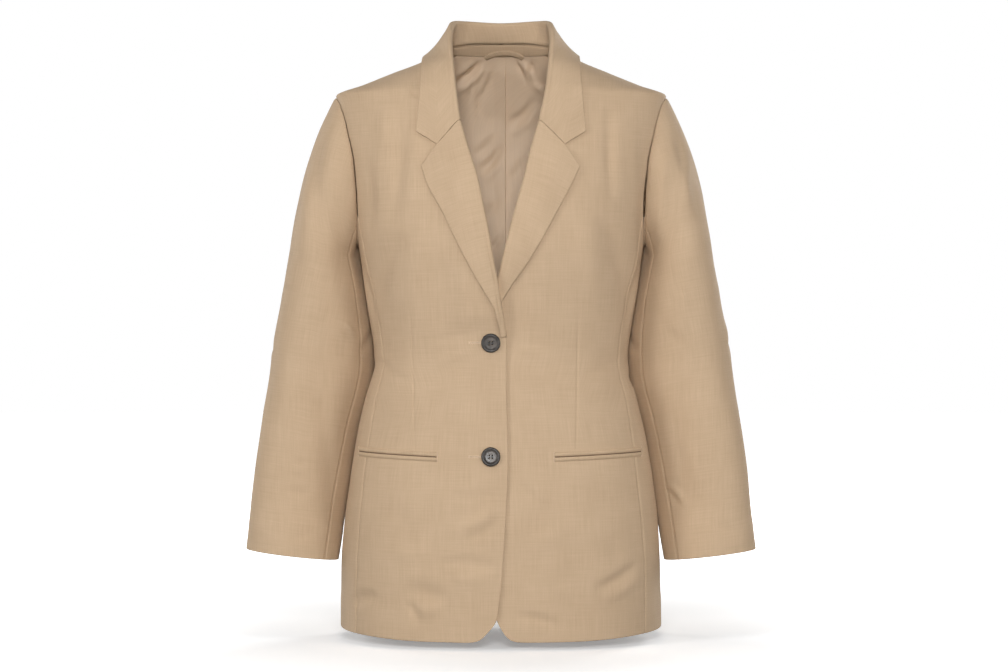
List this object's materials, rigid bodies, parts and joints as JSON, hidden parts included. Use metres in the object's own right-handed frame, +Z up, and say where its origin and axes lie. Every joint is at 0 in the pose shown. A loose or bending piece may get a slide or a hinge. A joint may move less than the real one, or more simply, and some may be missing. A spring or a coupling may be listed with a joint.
{
  "type": "single-breasted blazer, worn form with no wearer",
  "caption": "Hip-length single-breasted blazer in plain linen-look cloth: notch lapels, buttoned front, welt pockets, long set-in sleeves, hollow as worn.",
  "frame": {"origin": "centre of the wearer's neck base, level with the neck ends of the shoulder seams", "axes": "+Z up the wearer's neck, -Y out of the chest, +X towards the wearer's left"},
  "size_m": [0.6284, 0.2618, 0.7613],
  "materials": {
    "cloth": "plain-weave linen and viscose, matt, camel beige",
    "lining": "satin-weave viscose lining, soft sheen, beige",
    "button": "horn-look charcoal resin, satin"
  },
  "bodies": {
    "root": {"front_right": "cloth", "front_left": "cloth", "side_panel_right": "cloth", "side_panel_left": "cloth", "back_right": "cloth", "back_left": "cloth", "top_sleeve_right": "cloth", "top_sleeve_left": "cloth", "under_sleeve_right": "cloth", "under_sleeve_left": "cloth", "lapel_right": "cloth", "lapel_left": "cloth", "collar": "cloth", "pocket_welt_upper_right": "cloth", "pocket_welt_lower_right": "cloth", "pocket_welt_upper_left": "cloth", "pocket_welt_lower_left": "cloth", "back_neck_facing": "cloth", "hanger_loop": "cloth", "back_lining": "lining", "button_top": "button", "button_bottom": "button"}
  },
  "joints": []
}
